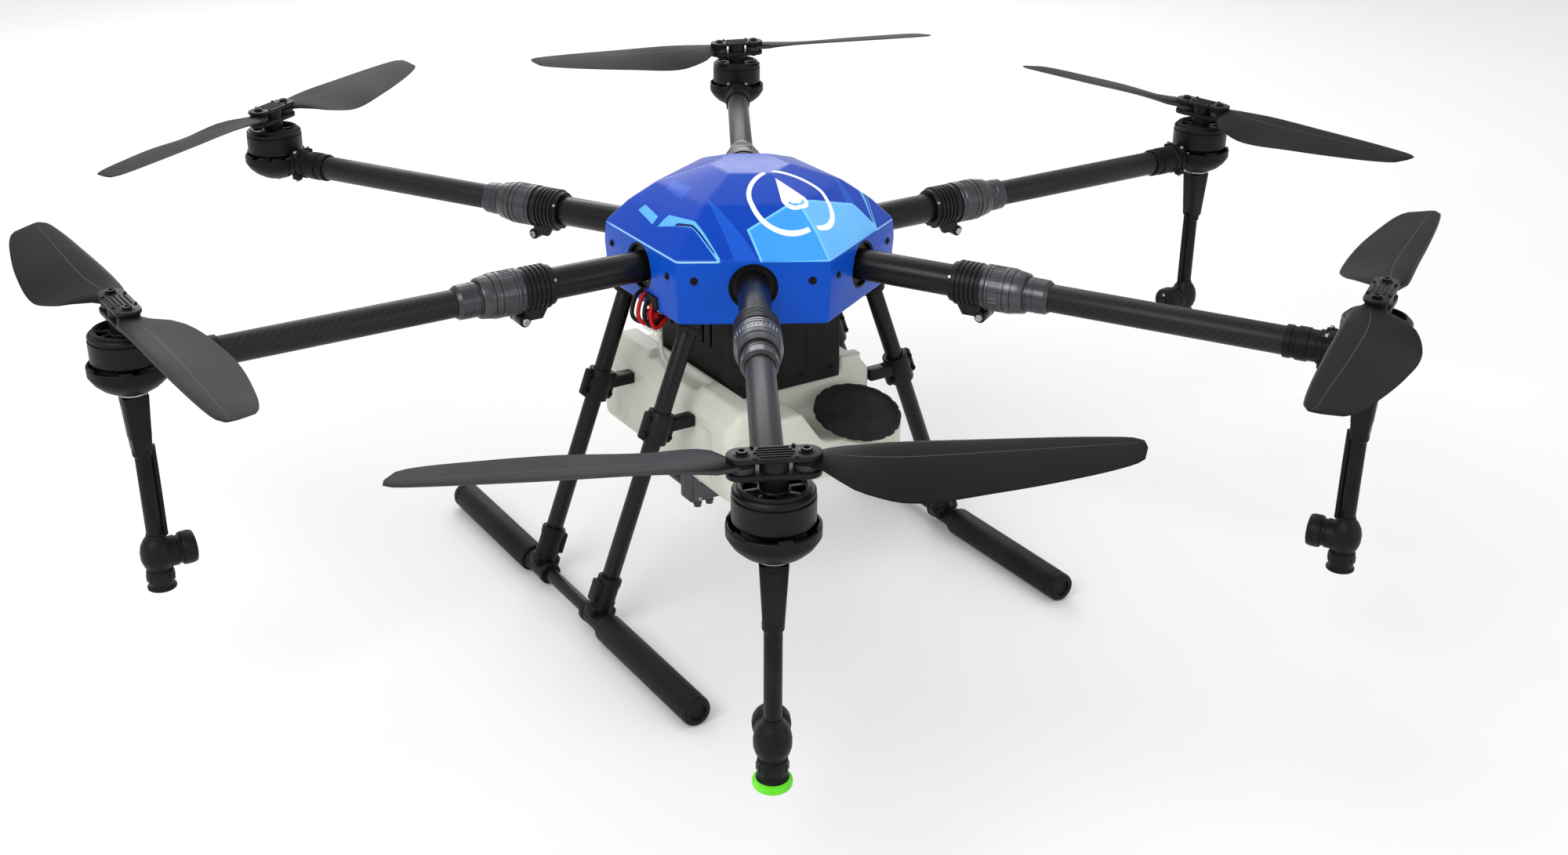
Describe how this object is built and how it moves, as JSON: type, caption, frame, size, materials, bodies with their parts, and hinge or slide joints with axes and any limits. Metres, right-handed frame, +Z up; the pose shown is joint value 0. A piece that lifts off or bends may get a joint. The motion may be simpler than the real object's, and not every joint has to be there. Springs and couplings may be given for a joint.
{
  "type": "hexacopter drone",
  "caption": "Crop-spraying hexacopter with folding arms, folding propellers, spray lances, a faceted blue hub cover, a liquid tank and two landing skids.",
  "frame": {"origin": "on the ground, midway between the skids and under the hub axis", "axes": "+Z up, -Y towards the drone's front, skids along Y, +X towards the drone's left-hand side seen from its front"},
  "size_m": [1.5297, 1.5676, 0.497],
  "materials": {
    "cover_blue": "glossy",
    "cover_cyan": "glossy",
    "mark_white": "satin",
    "carbon": "satin",
    "anodised_black": "satin",
    "black_plastic": "matte",
    "blade_black": "satin",
    "battery_black": "matte",
    "tank_plastic": "satin",
    "pump_grey": "satin",
    "foam_black": "satin",
    "screw_steel": "satin",
    "wire_red": "satin",
    "hose_pale": "satin",
    "nozzle_green": "glossy"
  },
  "bodies": {
    "frame": {"cover_shell": "cover_blue", "cover_screws": "screw_steel", "cover_brackets": "black_plastic", "hub_plates": "carbon", "arm_root_clamps": "anodised_black", "inner_arm_tubes": "carbon", "inner_fold_sockets": "anodised_black", "fold_pins": "screw_steel", "flight_electronics": "black_plastic", "battery_tray": "black_plastic", "tank_body": "tank_plastic", "tank_clamps": "anodised_black", "spray_pump": "pump_grey", "leg_brackets": "anodised_black", "leg_tubes": "carbon", "skid_tees": "black_plastic", "skid_tubes": "carbon", "skid_sleeves": "foam_black"},
    "arm_right": {"outer_arm_right": "carbon", "motor_base_right": "anodised_black", "spray_lance_right": "black_plastic"},
    "collar_right": {"lock_collar_right": "anodised_black"},
    "spinner_right": {"rotor_right": "anodised_black"},
    "leaf_a_right": {"blade_a_right": "blade_black"},
    "leaf_b_right": {"blade_b_right": "blade_black"},
    "arm_back_right": {"outer_arm_back_right": "carbon", "motor_base_back_right": "anodised_black"},
    "collar_back_right": {"lock_collar_back_right": "anodised_black"},
    "spinner_back_right": {"rotor_back_right": "anodised_black"},
    "leaf_a_back_right": {"blade_a_back_right": "blade_black"},
    "leaf_b_back_right": {"blade_b_back_right": "blade_black"},
    "arm_back_left": {"outer_arm_back_left": "carbon", "motor_base_back_left": "anodised_black"},
    "collar_back_left": {"lock_collar_back_left": "anodised_black"},
    "spinner_back_left": {"rotor_back_left": "anodised_black"},
    "leaf_a_back_left": {"blade_a_back_left": "blade_black"},
    "leaf_b_back_left": {"blade_b_back_left": "blade_black"},
    "arm_left": {"outer_arm_left": "carbon", "motor_base_left": "anodised_black", "spray_lance_left": "black_plastic"},
    "collar_left": {"lock_collar_left": "anodised_black"},
    "spinner_left": {"rotor_left": "anodised_black"},
    "leaf_a_left": {"blade_a_left": "blade_black"},
    "leaf_b_left": {"blade_b_left": "blade_black"},
    "arm_front_left": {"outer_arm_front_left": "carbon", "motor_base_front_left": "anodised_black", "spray_lance_front_left": "black_plastic"},
    "collar_front_left": {"lock_collar_front_left": "anodised_black"},
    "spinner_front_left": {"rotor_front_left": "anodised_black"},
    "leaf_a_front_left": {"blade_a_front_left": "blade_black"},
    "leaf_b_front_left": {"blade_b_front_left": "blade_black"},
    "arm_front_right": {"outer_arm_front_right": "carbon", "motor_base_front_right": "anodised_black", "spray_lance_front_right": "black_plastic"},
    "collar_front_right": {"lock_collar_front_right": "anodised_black"},
    "spinner_front_right": {"rotor_front_right": "anodised_black"},
    "leaf_a_front_right": {"blade_a_front_right": "blade_black"},
    "leaf_b_front_right": {"blade_b_front_right": "blade_black"},
    "cap": {"tank_cap": "black_plastic"},
    "battery": {"battery_pack": "battery_black"}
  },
  "joints": [
    {"name": "fold_right", "type": "hinge", "parent": "frame", "child": "arm_right", "pos_m": [0.291, 0, 0.3695], "axis": [0, 1, 0], "range_deg": [0, 80]},
    {"name": "collar_slide_right", "type": "slide", "parent": "arm_right", "child": "collar_right", "axis": [1, 0, 0], "range_m": [0, 0.024]},
    {"name": "spin_right", "type": "hinge", "parent": "arm_right", "child": "spinner_right", "pos_m": [0.702, 0, 0.409], "axis": [0, 0, 1], "continuous": true},
    {"name": "blade_a_fold_right", "type": "hinge", "parent": "spinner_right", "child": "leaf_a_right", "pos_m": [0.69726, 0.02557, 0.4623], "axis": [0, 0, 1], "range_deg": [-90, 90]},
    {"name": "blade_b_fold_right", "type": "hinge", "parent": "spinner_right", "child": "leaf_b_right", "pos_m": [0.70674, -0.02557, 0.4623], "axis": [0, 0, 1], "range_deg": [-90, 90]},
    {"name": "fold_back_right", "type": "hinge", "parent": "frame", "child": "arm_back_right", "pos_m": [0.1455, 0.25201, 0.3695], "axis": [-0.866, 0.5, 0], "range_deg": [0, 80]},
    {"name": "collar_slide_back_right", "type": "slide", "parent": "arm_back_right", "child": "collar_back_right", "axis": [0.5, 0.866, 0], "range_m": [0, 0.024]},
    {"name": "spin_back_right", "type": "hinge", "parent": "arm_back_right", "child": "spinner_back_right", "pos_m": [0.351, 0.60795, 0.409], "axis": [0, 0, 1], "continuous": true},
    {"name": "blade_a_fold_back_right", "type": "hinge", "parent": "spinner_back_right", "child": "leaf_a_back_right", "pos_m": [0.32595, 0.6149, 0.4623], "axis": [0, 0, 1], "range_deg": [-90, 90]},
    {"name": "blade_b_fold_back_right", "type": "hinge", "parent": "spinner_back_right", "child": "leaf_b_back_right", "pos_m": [0.37605, 0.601, 0.4623], "axis": [0, 0, 1], "range_deg": [-90, 90]},
    {"name": "fold_back_left", "type": "hinge", "parent": "frame", "child": "arm_back_left", "pos_m": [-0.1455, 0.25201, 0.3695], "axis": [-0.866, -0.5, 0], "range_deg": [0, 80]},
    {"name": "collar_slide_back_left", "type": "slide", "parent": "arm_back_left", "child": "collar_back_left", "axis": [-0.5, 0.866, 0], "range_m": [0, 0.024]},
    {"name": "spin_back_left", "type": "hinge", "parent": "arm_back_left", "child": "spinner_back_left", "pos_m": [-0.351, 0.60795, 0.409], "axis": [0, 0, 1], "continuous": true},
    {"name": "blade_a_fold_back_left", "type": "hinge", "parent": "spinner_back_left", "child": "leaf_a_back_left", "pos_m": [-0.32957, 0.62268, 0.4623], "axis": [0, 0, 1], "range_deg": [-90, 90]},
    {"name": "blade_b_fold_back_left", "type": "hinge", "parent": "spinner_back_left", "child": "leaf_b_back_left", "pos_m": [-0.37243, 0.59322, 0.4623], "axis": [0, 0, 1], "range_deg": [-90, 90]},
    {"name": "fold_left", "type": "hinge", "parent": "frame", "child": "arm_left", "pos_m": [-0.291, 0, 0.3695], "axis": [0, -1, 0], "range_deg": [0, 80]},
    {"name": "collar_slide_left", "type": "slide", "parent": "arm_left", "child": "collar_left", "axis": [-1, 0, 0], "range_m": [0, 0.024]},
    {"name": "spin_left", "type": "hinge", "parent": "arm_left", "child": "spinner_left", "pos_m": [-0.702, 0, 0.409], "axis": [0, 0, 1], "continuous": true},
    {"name": "blade_a_fold_left", "type": "hinge", "parent": "spinner_left", "child": "leaf_a_left", "pos_m": [-0.70291, 0.02598, 0.4623], "axis": [0, 0, 1], "range_deg": [-90, 90]},
    {"name": "blade_b_fold_left", "type": "hinge", "parent": "spinner_left", "child": "leaf_b_left", "pos_m": [-0.70109, -0.02598, 0.4623], "axis": [0, 0, 1], "range_deg": [-90, 90]},
    {"name": "fold_front_left", "type": "hinge", "parent": "frame", "child": "arm_front_left", "pos_m": [-0.1455, -0.25201, 0.3695], "axis": [0.866, -0.5, 0], "range_deg": [0, 80]},
    {"name": "collar_slide_front_left", "type": "slide", "parent": "arm_front_left", "child": "collar_front_left", "axis": [-0.5, -0.866, 0], "range_m": [0, 0.024]},
    {"name": "spin_front_left", "type": "hinge", "parent": "arm_front_left", "child": "spinner_front_left", "pos_m": [-0.351, -0.60795, 0.409], "axis": [0, 0, 1], "continuous": true},
    {"name": "blade_a_fold_front_left", "type": "hinge", "parent": "spinner_front_left", "child": "leaf_a_front_left", "pos_m": [-0.37456, -0.59696, 0.4623], "axis": [0, 0, 1], "range_deg": [-90, 90]},
    {"name": "blade_b_fold_front_left", "type": "hinge", "parent": "spinner_front_left", "child": "leaf_b_front_left", "pos_m": [-0.32744, -0.61894, 0.4623], "axis": [0, 0, 1], "range_deg": [-90, 90]},
    {"name": "fold_front_right", "type": "hinge", "parent": "frame", "child": "arm_front_right", "pos_m": [0.1455, -0.25201, 0.3695], "axis": [0.866, 0.5, 0], "range_deg": [0, 80]},
    {"name": "collar_slide_front_right", "type": "slide", "parent": "arm_front_right", "child": "collar_front_right", "axis": [0.5, -0.866, 0], "range_m": [0, 0.024]},
    {"name": "spin_front_right", "type": "hinge", "parent": "arm_front_right", "child": "spinner_front_right", "pos_m": [0.351, -0.60795, 0.409], "axis": [0, 0, 1], "continuous": true},
    {"name": "blade_a_fold_front_right", "type": "hinge", "parent": "spinner_front_right", "child": "leaf_a_front_right", "pos_m": [0.37329, -0.59456, 0.4623], "axis": [0, 0, 1], "range_deg": [-90, 90]},
    {"name": "blade_b_fold_front_right", "type": "hinge", "parent": "spinner_front_right", "child": "leaf_b_front_right", "pos_m": [0.32871, -0.62134, 0.4623], "axis": [0, 0, 1], "range_deg": [-90, 90]},
    {"name": "cap_lift", "type": "slide", "parent": "frame", "child": "cap", "axis": [0, -0.2419, 0.9703], "range_m": [0, 0.06]},
    {"name": "battery_slide", "type": "slide", "parent": "frame", "child": "battery", "axis": [0, 1, 0], "range_m": [0, 0.15]}
  ]
}
